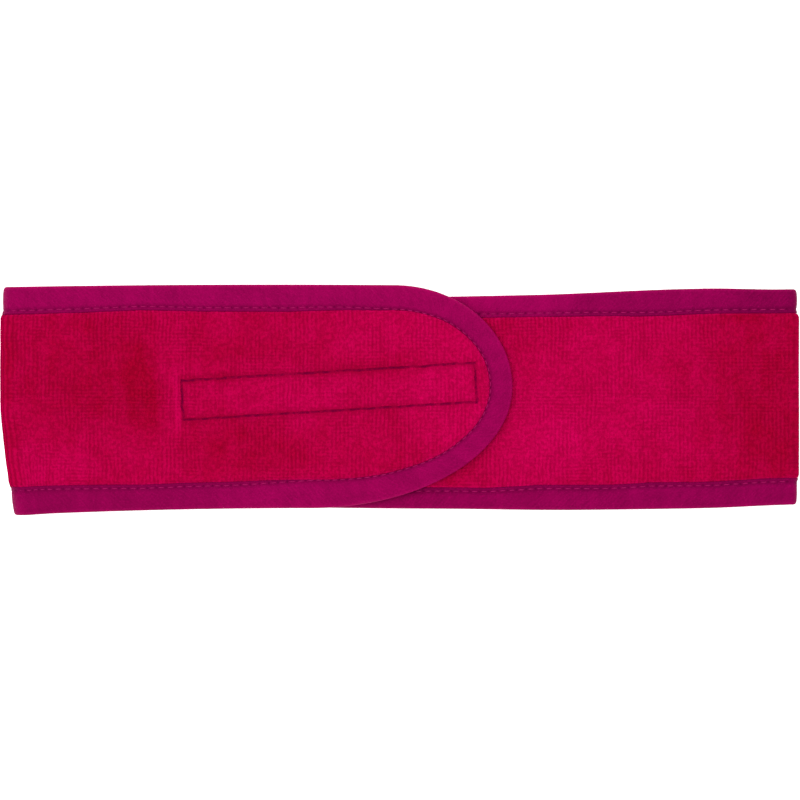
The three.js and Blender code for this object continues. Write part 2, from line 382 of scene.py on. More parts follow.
def velour(name, fold_from, box=None, nap_and_shade_patches=()):
    """Velour towelling. The pile stands in ribs across the strip and rows along it; its tips are lighter
    and the gaps between its tufts are painted darker, as painted shade. It lies one way or the other in
    brushed patches, whose sheen is painted lighter or darker. From fold_from on it goes round a fold,
    which opens its ribs and is painted darker, as painted shade. box is a box stitch sewn through it,
    with painted shade in its furrow, and nap_and_shade_patches gives the larger patches: brushed nap, and
    painted light and shade where the cloth folds."""
    material, shader, place = new_finish(name, (0.48, 0.0, 0.06))
    along, across, _ = place.parts()
    waver = place.scaled(0.07, 0.12).noise(1.0, 2.0) - 0.5
    waver_fine = place.scaled(0.6, 0.35).noise(1.0, 2.0) - 0.5
    rib = ((along + waver * 1.5 + waver_fine * 0.7) * (2 * math.pi / rib_pitch)).math("SINE") * 0.5 + 0.5
    row = ((across + waver * 1.2 + waver_fine * 0.9) * (2 * math.pi / row_pitch)).math("SINE") * 0.5 + 0.5
    tuft = place.scaled(0.74, 0.80).cells(0.8).step(0.0, 0.95, 1.0, 0.0)
    fibre = (place + (5.0, 9.0, 0.0)).scaled(1.3, 0.78).noise(1.0, 3.0, 0.8).step(0.3, 0.7)
    ribbed = place.scaled(0.075, 0.06).noise(1.0, 2.0, 0.6).step(0.38, 0.66, 0.12, 1.0)
    rowed = (place + (31.0, 17.0, 0.0)).scaled(0.06, 0.09).noise(1.0, 2.0, 0.6).step(0.42, 0.68, 0.06, 1.0)
    at_fold = along.step(fold_from, fold_from + 5.0)
    ribbed = ribbed.math("MAXIMUM", at_fold)
    rib, row = rib ** 0.55, row ** 0.6
    pile = (rib - 0.7) * ribbed * (at_fold * 0.75 + 0.34) + (row - 0.7) * rowed * 0.22
    pile = pile + tuft * 0.30 + fibre * 0.36
    pile = pile + 0.18

    # Patches where the pile lies one way or the other; the sheen this gives is painted lighter or darker into
    # the colour.
    brushed = place.scaled(0.022, 0.034).noise(1.0, 3.0, 0.55).step(0.32, 0.70)
    streak = place.scaled(0.30, 0.05).noise(1.0, 3.0, 0.6).step(0.3, 0.72)
    scuffed_sheen = place.scaled(0.12, 0.15).noise(1.0, 3.0, 0.65).step(0.3, 0.72)
    from_edge = place.make("ShaderNodeAttribute", {"attribute_name": "from_binding"}, {}, output=2)
    # Next to the binding the pile is painted lighter, as a painted highlight on its edge.
    nap_and_painted_light = brushed * 0.21 + streak * 0.16 + scuffed_sheen * 0.20 + from_edge.step(0.1, 0.9, 0.34, 0.0) + 0.14
    # Round the fold the pile is painted darker, as painted shade.
    nap_and_painted_light = nap_and_painted_light - at_fold * 0.30
    # Each patch is painted lighter or darker: brushed nap, and painted light and shade where the cloth folds.
    for centre_along, centre_across, half_along, half_across, lift in nap_and_shade_patches:
        away = ((along - centre_along) / half_along) ** 2.0 + ((across - centre_across) / half_across) ** 2.0
        nap_and_painted_light = nap_and_painted_light + away.step(0.0, 1.0, lift, 0.0)
    if box:
        tip_x, centre, tilt, half_length, half_width = box
        c, q = math.cos(math.radians(tilt)), math.sin(math.radians(tilt))
        sway = place.scaled(0.28, 0.28).noise(1.0, 3.0, 0.6) - 0.5
        x = (along * -1.0) + (tip_x - centre[0])
        y = across - centre[1]
        signed = x * c + y * q
        box_along = (signed + sway * 1.6).math("ABSOLUTE") - half_length
        box_across = (y * c - x * q + sway * 1.0).math("ABSOLUTE") - half_width
        outside = box_along.math("MAXIMUM", box_across)
        line = outside.math("ABSOLUTE")
        closed = place.scaled(0.42, 0.5).noise(1.0, 2.0, 0.6).step(0.36, 0.64, 1.0, 0.3)
        groove = line.step(0.02, 0.54, 1.0, 0.0) * closed
        gather = line.step(0.5, 3.0, 1.0, 0.0)
        left_ridge = ((signed + (half_length + 1.7)).math("ABSOLUTE").step(0.3, 1.7, 1.0, 0.0)
                      * (y * c - x * q).math("ABSOLUTE").step(half_width, half_width + 8.0, 1.0, 0.0))
        pile = pile * (1.0 - groove * 0.5) - groove * 1.0 - gather * 0.12 + left_ridge * 0.2
        # The ridge left of the box is painted lighter, as a painted highlight on it; the pile well inside the
        # box is lighter too.
        nap_and_painted_light = nap_and_painted_light + outside.step(-1.6, -0.4, 0.13, 0.0) + left_ridge * 0.22
    # The pile's tips are lighter and the gaps between its tufts are painted darker, as painted shade in the
    # pile.
    tips = pile.step(0.24, 0.70)
    body = nap_and_painted_light.colour((0.234, 0.0003, 0.0150, 1), (0.392, 0.0006, 0.0575, 1))
    pile_gap_shade = nap_and_painted_light.colour((0.160, 0.0002, 0.0098, 1), (0.276, 0.0004, 0.0365, 1))
    shade = tips.colour(pile_gap_shade, body)
    if box:
        # The furrow of the box stitch is painted dark, as painted shade in it.
        shade = (groove * 0.80).colour(shade, (0.075, 0.0, 0.020, 1))
    connect(shader, "Base Color", shade)
    shader.inputs["Roughness"].default_value = 1.0
    shader.inputs["Specular IOR Level"].default_value = 0.0
    shader.inputs["Sheen Weight"].default_value = 0.18
    shader.inputs["Sheen Roughness"].default_value = 0.5
    shader.inputs["Sheen Tint"].default_value = (1.0, 0.0, 0.18, 1.0)
    bump = pile.make("ShaderNodeBump", {}, {"Strength": 0.85, "Distance": 0.0006, "Height": pile})
    connect(shader, "Normal", bump)
    return material


band_towelling = towelling_piece(
    "band_towelling", band_strip, band_spacing, 76, 70.0, band_relief
)
# Of the nap_and_shade_patches, the first two are lighter patches just right of the flap's tip, and the last
# darkens the towelling towards the right fold, as painted shade.
band_towelling.data.materials.append(
    velour("velour_band", 486.0, nap_and_shade_patches=[
        (160.0, 0.0, 45.0, 60.0, 0.20), (130.0, -10.0, 22.0, 34.0, 0.18), (212.0, 6.0, 40.0, 60.0, -0.18),
    ])
)
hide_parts("towelling_band", "towelling_left_fold")
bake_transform(band_towelling)


# ---- Towelling of the flap ----
# The same strip goes on over the left fold and back on top, and ends in the large round end. The
# hook tape's box stitch draws a narrow furrow in its upper face, and the pile closes over it.

# The box stitch and the hook tape under it share a centre and a slight tilt, in degrees.
box_centre, box_tilt = (-23.9, 2.9), 3.5
box_half_length, box_half_width = 49.6, 6.6
hook_half_length, hook_half_width = 51.0, 8.0

# Where the flap's tip is, and how far along the flap from there the middle of the left fold is.
flap_tip_x, flap_fold_middle = 37.9, 171.0


def place_flap(s, y, h):
    x = flap_tip_x - s
    turn = np.clip((left_fold_x - x) / left_fold_r, 0, math.pi / 2)
    z = np.where(x < left_fold_x, left_fold_z + (left_fold_r + h) * np.cos(turn), flap_z + h)
    shifted = np.where(x < left_fold_x, left_fold_x - (left_fold_r + h) * np.sin(turn), x)
    shifted = shifted + fold_shift(y) * smooth(-x, 116.0, 132.0)
    return np.stack([shifted, y, z], axis=1)


def flap_top(s):
    return bow(s, 39.9, 38.8, 38.9, 168.6, 38.2)


def flap_bottom(s):
    return bow(s, 67.9, -36.5, -37.1, 168.6, -38.9)


def flap_top_width(s):
    return np.interp(
        s, [0, 24, 45, 55, 75, 105, 125, 146, 174], [7.6, 8.3, 8.6, 8.5, 9.1, 9.0, 8.4, 9.1, 9.4],
    )


def flap_bottom_width(s):
    return np.interp(
        s, [0, 20, 45, 66, 78, 92, 110, 125, 146, 168],
        [7.6, 7.9, 8.9, 9.7, 9.5, 9.1, 8.9, 8.7, 9.2, 9.6],
    )


flap_strip = Strip(
    flap_tip_x - left_fold_x + left_fold_r * math.pi / 2,
    4.4, 39.9, 67.9, flap_top, flap_bottom, flap_top_width, flap_bottom_width, place_flap,
)


def flap_relief(s, y, outer, inside):
    x = flap_tip_x - s
    puff = 0.10 * lumps(s, y, 11.0, 13.1) + 0.05 * lumps(s, y, 2.2, 17.7) + 0.06
    box = in_box(x, y, box_centre, box_tilt, box_half_length, box_half_width)
    furrow = np.exp(-((np.abs(box) / 0.6) ** 2)) * 0.30 + np.exp(-((np.abs(box) / 2.6) ** 2)) * 0.12
    ridge = np.cos((x + 131.5 + 0.5 * lumps(x, y, 9.0, 2.0)) * (2 * math.pi / 4.4))
    ridge = 0.16 * ridge * smooth(-x, 120.0, 129.0) * smooth(inside, 1.0, 9.0)
    above = puff - furrow + ridge
    tape = in_box(x, y, box_centre, box_tilt, hook_half_length, hook_half_width)
    below = np.minimum(puff * 0.4, 0.03) - 1.0 * (1.0 - smooth(tape, 0.0, 0.5))
    return np.where(outer > 0, above, below)


def from_flap_fold(s):
    """The same for a place on the flap."""
    return np.abs(s - flap_fold_middle) - half_fold


def flap_spacing(s):
    return 0.34 + 0.18 * smooth(from_flap_fold(s), 0.0, 6.0) * smooth(s, 2.0, 10.0)


flap_towelling = towelling_piece(
    "flap_towelling", flap_strip, flap_spacing, 122, 160.0, flap_relief
)
# Of the nap_and_shade_patches, the second is painted shade and the third a painted highlight where the flap
# drops past the end of the hook tape under it; the rest are patches of brushed nap.
flap_towelling.data.materials.append(
    velour("velour_flap", 167.0, (flap_tip_x, box_centre, box_tilt, box_half_length, box_half_width), nap_and_shade_patches=[
        (144.0, 10.0, 34.0, 34.0, -0.20), (124.5, 2.0, 8.0, 22.0, -0.24), (114.0, 4.0, 7.0, 40.0, 0.14),
        (16.0, 4.0, 26.0, 34.0, 0.3), (160.0, -24.0, 26.0, 12.0, 0.3), (45.0, 24.0, 40.0, 12.0, 0.18),
        (88.0, -16.0, 42.0, 12.0, -0.14), (60.0, 2.9, 60.0, 7.0, 0.05),
    ])
)
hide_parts("towelling_flap")
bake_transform(flap_towelling)


# ---- Bias binding ----
# A cotton tape cut on the bias, with both its edges turned in, folded round the raw edge of the
# towelling and sewn down through both faces with one row of lockstitch.

stitch_pitch = 3.15


def outline(strip, step):
    """The strip's edge from the left fold along the top, round its end and back along the bottom.
    Each place on it is (which stretch, s or angle, length so far)."""
    tops = spaced(strip.length - strip.top_turn, lambda t: step(strip.length - t))
    angles = np.linspace(0, math.pi / 2, int(62.0 / step(np.array([0.0]))[0]) + 1)
    bottoms = strip.length - spaced(strip.length - strip.bottom_turn, lambda t: step(strip.length - t))[::-1]
    kind = np.concatenate([np.zeros(len(tops)), np.ones(len(angles) - 1), np.full(len(angles) - 1, 2.0),
                           np.full(len(bottoms) - 1, 3.0)])
    at = np.concatenate([strip.length - tops, math.pi / 2 - angles[1:], -angles[1:], bottoms[1:]])
    s, y = on_edge(strip, kind, at, np.zeros(len(at)))
    run = np.concatenate([[0.0], np.cumsum(np.hypot(np.diff(s), np.diff(y)))])
    return kind, at, run


def on_edge(strip, kind, at, inset):
    """The point that lies a given distance inside a place on the outline."""
    upper = kind <= 1
    turn = np.where(upper, strip.top_turn, strip.bottom_turn)
    straight = (kind == 0) | (kind == 3)
    angle = np.where(straight, 0.0, at)
    s = np.where(straight, at, turn - (turn - inset) * np.cos(angle))
    edge = np.where(upper, strip.top(s) - inset, strip.bottom(s) + inset)
    y = np.where(straight, edge, strip.tip_y + np.abs(np.sin(angle)) * (edge - strip.tip_y))
    return s, y


def seam_in(strip, kind, at):
    """From the inner edge of the binding to its row of stitches, which runs closer round the end."""
    straight = (kind == 0) | (kind == 3)
    turn = np.where(kind <= 1, strip.top_turn, strip.bottom_turn)
    return 0.24 + 0.96 * np.where(straight, smooth(at, turn - 10.0, turn + 30.0), 0.0)


# The tape's section: (share of the visible width, distance added to it, height), from the turned
# edge on the outer face, round the outside of the strip, to the turned edge on the inner face,
# and back through the inside.
outer_face = [
    (1.0, -0.25, 0.50), (1.0, 0.02, 0.58), (1.0, 0.08, 0.74), (1.0, -0.02, 0.92), (1.0, -0.25, 1.03),
    (1.0, -0.50, 1.04), (1.0, -0.80, 1.04), (1.0, -1.15, 1.05), (1.0, -1.50, 1.06), (1.0, -1.95, 1.08),
    (0.66, 0.0, 1.12), (0.52, 0.0, 1.15), (0.38, 0.0, 1.15), (0.26, 0.0, 1.11),
    (0.0, 1.25, 1.03), (0.0, 0.72, 0.88), (0.0, 0.32, 0.66), (0.0, 0.08, 0.36),
]
section = (
    outer_face + [(0.0, 0.0, 0.0)] + [(share, add, -height) for share, add, height in reversed(outer_face)]
    + [(0.5, 0.0, -0.5), (0.0, 1.5, -0.45), (0.0, 1.5, 0.45), (0.5, 0.0, 0.5)]
)


def edge_waver(run, seed):
    """The tape wasn't folded and sewn quite evenly."""
    return 0.16 * lumps(run, run * 0 + 2.0, 17.0, seed) + 0.06 * lumps(run, run * 0, 4.5, seed)


def binding_piece(name, strip, step, seed):
    kind, at, run = outline(strip, step)
    bm = bmesh.new()
    count = len(section)
    bmesh.ops.create_grid(bm, x_segments=len(at) - 1, y_segments=count, size=1.0)
    mesh = bpy.data.meshes.new(name)
    bm.to_mesh(mesh)
    bm.free()
    points = read_points(mesh)
    column = np.rint((points[:, 0] + 1) / 2 * (len(at) - 1)).astype(int)
    place = np.rint((points[:, 1] + 1) / 2 * count).astype(int)
    table = np.array(section + [section[0]])
    here_kind, here_at, here_run = kind[column], at[column], run[column]
    s0, y0 = on_edge(strip, here_kind, here_at, np.zeros(len(column)))
    wide = strip.width(s0, y0)
    waver = edge_waver(run, seed)[column]
    share, add, height = table[place, 0], table[place, 1], table[place, 2]
    inset = share * wide + add + waver * np.clip(share, 0, 1)
    face = np.sign(height)
    # Each stitch pulls the tape down at its two holes, and the tape swells between them.
    phase = np.cos(here_run * (2 * math.pi / stitch_pitch))
    from_seam = wide + waver - seam_in(strip, here_kind, here_at) - inset
    near = np.exp(-((from_seam / 0.6) ** 2)) * (np.abs(height) > 0.7)
    far = np.exp(-((from_seam / 2.2) ** 2)) * (np.abs(height) > 0.7)
    pucker = -0.18 * near - 0.10 * near * (0.5 + 0.5 * phase) + 0.035 * far * phase
    swell = 0.03 * lumps(here_run, inset, 9.0, seed + 3.0) * (np.abs(height) > 0.8)
    # Round the end the tape is eased in, and stands in faint creases across its width.
    curved = np.where((here_kind == 1) | (here_kind == 2), 0.8, 0.06)
    swell = swell + 0.13 * curved * lumps(here_run, inset * 0.2, 3.4, seed + 9.0) * smooth(inset, 0.3, 2.5)
    s, y = on_edge(strip, here_kind, here_at, inset)
    write_points(mesh, strip.place(s, y, height + face * (pucker + swell)))
    cloth_map(mesh, here_run, wide + waver - inset)
    for attribute, given in (("edge_depth", inset), ("from_seam", from_seam)):
        mesh.attributes.new(attribute, "FLOAT", "POINT").data.foreach_set("value", given.astype(np.float32))
    bm = bmesh.new()
    bm.from_mesh(mesh)
    bmesh.ops.remove_doubles(bm, verts=bm.verts[:], dist=0.00002)
    bm.to_mesh(mesh)
    bm.free()
    return finished(name, mesh)


bias_pitch = 0.52  # from thread to thread, measured along the tape


def bias_cotton(name, dark, light, painted_light_and_shade):
    """The tape's plain weave, which crosses the tape both ways at 45 degrees. Each row of
    painted_light_and_shade is a stretch of the tape painted lighter or darker, as painted light and shade:
    its middle, its reach and its lift."""
    material, shader, place = new_finish(name, (0.31, 0.001, 0.07))
    along, across, _ = place.parts()
    depth = place.make("ShaderNodeAttribute", {"attribute_name": "edge_depth"}, {}, output=2)
    waver = place.scaled(0.6, 0.6).noise(1.0, 2.0) - 0.5
    warp = ((along + across + waver * 0.35) * (2 * math.pi / bias_pitch)).math("SINE") * 0.5 + 0.5
    weft = ((along - across + waver * 0.35) * (2 * math.pi / bias_pitch)).math("SINE") * 0.5 + 0.5
    slub = (along + across).make("ShaderNodeCombineXYZ", {}, {0: along + across, 1: (along - across) * 0.12})
    streak = slub.noise(1.3, 3.0, 0.6)
    cloud = place.scaled(0.08, 0.25).noise(1.0, 2.0)
    phase = (along * (2 * math.pi / stitch_pitch)).math("COSINE")
    from_seam = place.make("ShaderNodeAttribute", {"attribute_name": "from_seam"}, {}, output=2)
    from_seam = from_seam.math("ABSOLUTE")
    hole = from_seam.step(0.1, 0.5, 1.0, 0.0) * phase.step(0.6, 0.97)
    # Beside the row of stitches the tape is painted darker, as painted shade in the valley the stitches pull.
    seam_valley_shade = from_seam.step(0.2, 1.5, 1.0, 0.0)
    # At its outer roll the tape is painted lighter, as painted light.
    rim = depth.step(0.15, 1.3, 1.0, 0.0)
    # Along its inner hem the tape is painted darker, as a painted shadow line.
    hem_shadow = across.step(0.15, 0.6, 1.0, 0.0)
    grain = place.scaled(1.3, 1.3).noise(1.0, 3.0, 0.8).step(0.3, 0.7)
    # Faint streaks across the tape are painted lighter and darker, as painted light and shade of creases.
    crease_light_and_shade = place.scaled(0.26, 0.05).noise(1.0, 2.0, 0.6).step(0.3, 0.7)
    fleck = (place + (7.0, 3.0, 0.0)).scaled(2.4, 2.4).noise(1.0, 2.0, 0.8).step(0.56, 0.70)
    tone = (streak * 0.40 + cloud * 0.20 + grain * 0.16 + crease_light_and_shade * 0.08 + warp * 0.10 + weft * 0.10
            + rim * 0.16 - seam_valley_shade * 0.16 - hem_shadow * 0.18 + 0.13)
    for place_along, reach, lift in painted_light_and_shade:
        tone = tone + (((along - place_along) / reach) ** 2.0).step(0.0, 1.0, lift, 0.0)
    shade = tone.step(0.3, 1.1).colour(dark, light)
    shade = (fleck * 0.32).colour(shade, (0.40, 0.004, 0.115, 1))
    # The needle holes are painted dark, as painted shade in them.
    shade = (hole * 0.5).colour(shade, (0.062, 0.0, 0.016, 1))
    connect(shader, "Base Color", shade)
    rough = streak * 0.12 + 0.66
    connect(shader, "Roughness", rough)
    shader.inputs["Specular IOR Level"].default_value = 0.06
    shader.inputs["Specular Tint"].default_value = (1.0, 0.05, 0.5, 1.0)
    shader.inputs["Sheen Weight"].default_value = 0.1
    shader.inputs["Sheen Tint"].default_value = (1.0, 0.0, 0.3, 1.0)
    height = warp * 0.2 + weft * 0.2 + streak * 0.4 + grain * 0.3 + cloud * 0.1 - hole * 1.0
    bump = height.make("ShaderNodeBump", {}, {"Strength": 0.55, "Distance": 0.00025, "Height": height})
    connect(shader, "Normal", bump)
    return material


def band_step(s):
    return 0.42 + 0.48 * smooth(from_band_folds(s), 0.0, 5.0)


def flap_step(s):
    return 0.42 + 0.10 * smooth(from_flap_fold(s), 0.0, 5.0)


band_binding = binding_piece("band_binding", band_strip, band_step, 21.0)
# The band's tape is given darker colours than the flap's, as painted shade. Its painted_light_and_shade
# darkens it round the right fold, as painted shade, and lightens it near the flap's tip, as painted light
# where the flap shades it.
band_binding.data.materials.append(
    bias_cotton("bias_cotton_band", (0.092, 0.0003, 0.024, 1), (0.232, 0.0006, 0.057, 1), painted_light_and_shade=[
        (274.0, 26.0, -0.10), (366.0, 26.0, 0.14),
    ])
)
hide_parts("binding_band", "binding_left_fold_top", "binding_left_fold_bottom")
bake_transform(band_binding)

flap_binding = binding_piece("flap_binding", flap_strip, flap_step, 31.0)
# Its painted_light_and_shade darkens the flap's tape near the bottom of the left fold, as painted shade.
flap_binding.data.materials.append(
    bias_cotton("bias_cotton_flap", (0.108, 0.0004, 0.027, 1), (0.258, 0.0008, 0.062, 1), painted_light_and_shade=[
        (355.0, 62.0, -0.10),
    ])
)
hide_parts("binding_flap")
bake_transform(flap_binding)


# ---- Binding stitches ----
# Lockstitch in polyester thread a little paler than the tape: the needle thread shows on the outer
# face and the bobbin thread on the inner one. Each stitch is one short crown between two holes.

thread_radius = 0.19
ply_pitch = 0.42


def thread_finish():
    material, shader, place = new_finish("sewing_thread", (0.42, 0.02, 0.14))
    along, across, _ = place.parts()
    ply = ((along * 1.0 + across * 1.6) * (2 * math.pi / ply_pitch)).math("SINE") * 0.5 + 0.5
    worn = place.scaled(0.35, 0.35).noise(1.0, 2.0)
    tone = ply * 0.45 + worn * 0.6
    shade = tone.step(0.2, 0.9).colour((0.15, 0.001, 0.036, 1), (0.31, 0.005, 0.085, 1))
    connect(shader, "Base Color", shade)
    connect(shader, "Roughness", ply * 0.1 + 0.5)
    shader.inputs["Specular IOR Level"].default_value = 0.25
    shader.inputs["Specular Tint"].default_value = (1.0, 0.15, 0.55, 1.0)
    bump = ply.make("ShaderNodeBump", {}, {"Strength": 0.5, "Distance": 0.0001, "Height": ply})
    connect(shader, "Normal", bump)
    return material


thread = thread_finish()


def repeated(name, shape, count):
    """A mesh with the same small shape in it many times over."""
    bm = bmesh.new()
    bm.from_mesh(shape)
    sizes = len(bm.verts), len(bm.edges), len(bm.faces)
    made = 1
    while made < count:
        more = min(made, count - made)
        some = bm.verts[:more * sizes[0]] + bm.edges[:more * sizes[1]] + bm.faces[:more * sizes[2]]
        bmesh.ops.duplicate(bm, geom=some)
        made += more
    mesh = bpy.data.meshes.new(name)
    bm.to_mesh(mesh)
    bm.free()
    return mesh


def bead_shape():
    """One crown, lying along Y from hole to hole, two long, two wide and two high."""
    bm = bmesh.new()
    bmesh.ops.create_uvsphere(bm, u_segments=7, v_segments=6, radius=1.0)
    bmesh.ops.rotate(bm, matrix=Matrix.Rotation(math.radians(90), 3, "X"), verts=bm.verts[:])
    shape = bpy.data.meshes.new("crown")
    bm.to_mesh(shape)
    bm.free()
    return shape


crown = bead_shape()


def stitches_piece(name, start, end, up, radius):
    """Every crown is a bead from its start to its end, arched over the cloth towards up."""
    mesh = repeated(name, crown, len(start))
    bead = read_points(crown)
    forward = (end - start) / 2
    side = np.cross(forward, up)
    side = side / np.linalg.norm(side, axis=1, keepdims=True)
    over = np.cross(side, forward)
    over = over / np.linalg.norm(over, axis=1, keepdims=True)
    full = 1 - bead[:, 1] ** 4 * 0.35
    x = (bead[:, 0] * radius * full)[None, :, None]
    y = bead[:, 1][None, :, None]
    z = (bead[:, 2] * radius * 0.8 * full - bead[:, 1] ** 2 * radius * 1.5)[None, :, None]
    middle = ((start + end) / 2)[:, None, :]
    points = middle + x * side[:, None, :] + y * forward[:, None, :] + z * over[:, None, :]
    write_points(mesh, points.reshape(-1, 3))
    half = np.linalg.norm(forward, axis=1)
    along = (np.arange(len(start)) * 3.7)[:, None] + half[:, None] * bead[:, 1][None, :]
    round_it = np.arctan2(bead[:, 2], bead[:, 0]) * radius
    cloth_map(mesh, along.ravel(), np.tile(round_it, len(start)))
    piece = finished(name, mesh)
    piece.data.materials.append(thread)
    return piece


def seam_crowns(strip, step, seed):
    kind, at, run = outline(strip, step)
    s0, y0 = on_edge(strip, kind, at, np.zeros(len(at)))
    s, y = on_edge(strip, kind, at, strip.width(s0, y0) + edge_waver(run, seed) - seam_in(strip, kind, at))
    holes = np.arange(0.0, run[-1], stitch_pitch)

    def spot(share, height):
        where = holes[:-1] + stitch_pitch * share
        return strip.place(np.interp(where, run, s), np.interp(where, run, y), np.full(len(where), height))

    start = np.concatenate([spot(0.11, 0.90), spot(0.11, -0.90)])
    end = np.concatenate([spot(0.89, 0.90), spot(0.89, -0.90)])
    up = np.concatenate([spot(0.5, 1.3) - spot(0.5, 0.5), spot(0.5, -1.3) - spot(0.5, -0.5)])
    return start, end, up


band_stitches = stitches_piece("band_stitches", *seam_crowns(band_strip, band_step, 21.0), thread_radius)
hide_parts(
    "binding_needle_thread_band", "binding_bobbin_thread_band",
    "binding_thread_left_fold_top", "binding_thread_left_fold_bottom",
)
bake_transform(band_stitches)

flap_stitches = stitches_piece("flap_stitches", *seam_crowns(flap_strip, flap_step, 31.0), thread_radius)
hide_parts("binding_needle_thread_flap", "binding_bobbin_thread_flap")
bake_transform(flap_stitches)


# ---- Hook tape ----
# A strip of woven nylon sewn to the underside of the flap, whose pile is cut monofilament hooks in
# rows that face one way and the other. It is sewn on round its edge, through the flap: the needle
# thread is sunk in the flap's upper face, and the bobbin thread shows on the tape.

hook_base_z, hook_base_top = 6.38, 6.83
hook_pitch_along, hook_pitch_across = 1.55, 1.28
hook_field_length, hook_field_width = 99.0, 14.2
stem_height, stem_offset, filament_radius = 0.34, 0.20, 0.085


def tilted(along, across, centre, tilt):
    c, q = math.cos(math.radians(tilt)), math.sin(math.radians(tilt))
    return centre[0] + along * c - across * q, centre[1] + along * q + across * c


def slab_piece(name, half_length, half_width, spacing, low, high, centre, tilt, top_relief=None):
    mesh = cloth_grid(name, int(2 * half_length / spacing), max(2, int(2 * half_width / spacing)))
    points = read_points(mesh)
    along, across = points[:, 0] * half_length, points[:, 1] * half_width
    upper = np.abs(points[:, 2]) < 0.5
    z = np.where(upper, high, low)
    if top_relief:
        z = z + np.where(upper, top_relief(along, across), 0.0)
    x, y = tilted(along, across, centre, tilt)
    write_points(mesh, np.stack([x, y, z], axis=1))
    cloth_map(mesh, along, across)
    return finished(name, mesh)


def woven_nylon(name, light, dark, viewport):
    material, shader, place = new_finish(name, viewport)
    along, across, _ = place.parts()
    warp = (across * (2 * math.pi / 0.42)).math("SINE") * 0.5 + 0.5
    weft = (along * (2 * math.pi / 0.62) + (across * (2 * math.pi / 0.84)).math("SINE") * 1.4)
    weft = weft.math("SINE") * 0.5 + 0.5
    worn = place.scaled(0.12, 0.3).noise(1.0, 3.0)
    weave = warp * 0.5 + weft * 0.5
    shade = (weave * 0.6 + worn * 0.5).step(0.15, 0.95).colour(dark, light)
    connect(shader, "Base Color", shade)
    connect(shader, "Roughness", worn * 0.2 + 0.42)
    shader.inputs["Specular IOR Level"].default_value = 0.35
    shader.inputs["Specular Tint"].default_value = (1.0, 0.08, 0.45, 1.0)
    bump = weave.make("ShaderNodeBump", {}, {"Strength": 0.6, "Distance": 0.00012, "Height": weave})
    connect(shader, "Normal", bump)
    return material


hook_tape = slab_piece(
    "hook_tape_ground", hook_half_length, hook_half_width, 0.8, hook_base_z, hook_base_top,
    box_centre, box_tilt,
)
hook_tape.data.materials.append(
    woven_nylon("hook_nylon", (0.150, 0.002, 0.040, 1), (0.075, 0.001, 0.018, 1), (0.25, 0.005, 0.07))
)
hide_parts("hook_tape")
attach(hook_tape, "flap")


def hook_shape():
    """A stem with a round hook at its end: a thin filament swept up and over."""
    bm = bmesh.new()
    ring = bmesh.ops.create_circle(bm, segments=5, radius=filament_radius, cap_ends=True)["verts"]
    bmesh.ops.translate(bm, vec=(-stem_offset, 0, 0), verts=ring)
    stem = bmesh.ops.extrude_face_region(bm, geom=bm.faces[:])["geom"]
    top = [part for part in stem if isinstance(part, bmesh.types.BMVert)]
    bmesh.ops.translate(bm, vec=(0, 0, stem_height), verts=top)
    bend = [part for part in stem if isinstance(part, bmesh.types.BMFace)]
    bmesh.ops.spin(
        bm, geom=bend, cent=(0.0, 0, stem_height), axis=(0, 1, 0), angle=math.radians(215), steps=6,
        use_merge=False,
    )
    bmesh.ops.recalc_face_normals(bm, faces=bm.faces[:])
    shape = bpy.data.meshes.new("hook")
    bm.to_mesh(shape)
    bm.free()
    return shape


hook = hook_shape()
hook_columns = int(hook_field_length / hook_pitch_along)
hook_rows = int(hook_field_width / hook_pitch_across)
hook_points = read_points(hook)
hook_index = np.arange(hook_columns * hook_rows)
hook_row = hook_index % hook_rows
hook_along = (hook_index // hook_rows - (hook_columns - 1) / 2) * hook_pitch_along
hook_across = (hook_row - (hook_rows - 1) / 2) * hook_pitch_across
hook_along = hook_along + 0.12 * lumps(hook_along, hook_across, 0.9, 51.0) + (hook_row % 2) * 0.5
hook_facing = np.where(hook_row % 2 == 0, 1.0, -1.0)
hooks_mesh = repeated("hooks", hook, len(hook_index))
reach = hook_along[:, None] + hook_facing[:, None] * hook_points[:, 0][None, :]
spread = hook_across[:, None] + hook_points[:, 1][None, :] * hook_facing[:, None]
hook_x, hook_y = tilted(reach, spread, box_centre, box_tilt)
hook_z = np.broadcast_to(hook_base_z + 0.02 - hook_points[:, 2][None, :] * 0.98, hook_x.shape)
write_points(hooks_mesh, np.stack([hook_x.ravel(), hook_y.ravel(), hook_z.ravel()], axis=1))
cloth_map(hooks_mesh, reach.ravel(), np.tile(hook_points[:, 2], len(hook_index)))
hooks = finished("hooks", hooks_mesh)
hooks.data.materials.append(
    woven_nylon("hook_filament", (0.230, 0.006, 0.070, 1), (0.130, 0.002, 0.036, 1), (0.4, 0.02, 0.13))
)
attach(hooks, "flap")


def box_crowns(centre, tilt, half_length, half_width, pitch, z, up_z):
    """Stitches round a box, as starts, ends and ups, at a height over the table."""
    corners = [(-1, -1), (1, -1), (1, 1), (-1, 1), (-1, -1)]
    starts, ends = [], []
    for (a0, b0), (a1, b1) in zip(corners[:-1], corners[1:]):
        first = np.array([a0 * half_length, b0 * half_width])
        last = np.array([a1 * half_length, b1 * half_width])
        count = max(2, round(float(np.linalg.norm(last - first)) / pitch))
        for i in range(count):
            starts.append(first + (last - first) * (i + 0.08) / count)
            ends.append(first + (last - first) * (i + 0.92) / count)

    def lifted(spots):
        spots = np.array(spots)
        x, y = tilted(spots[:, 0], spots[:, 1], centre, tilt)
        return np.stack([x, y, np.full(len(x), z)], axis=1)

    return lifted(starts), lifted(ends), np.tile([0.0, 0.0, up_z], (len(starts), 1))


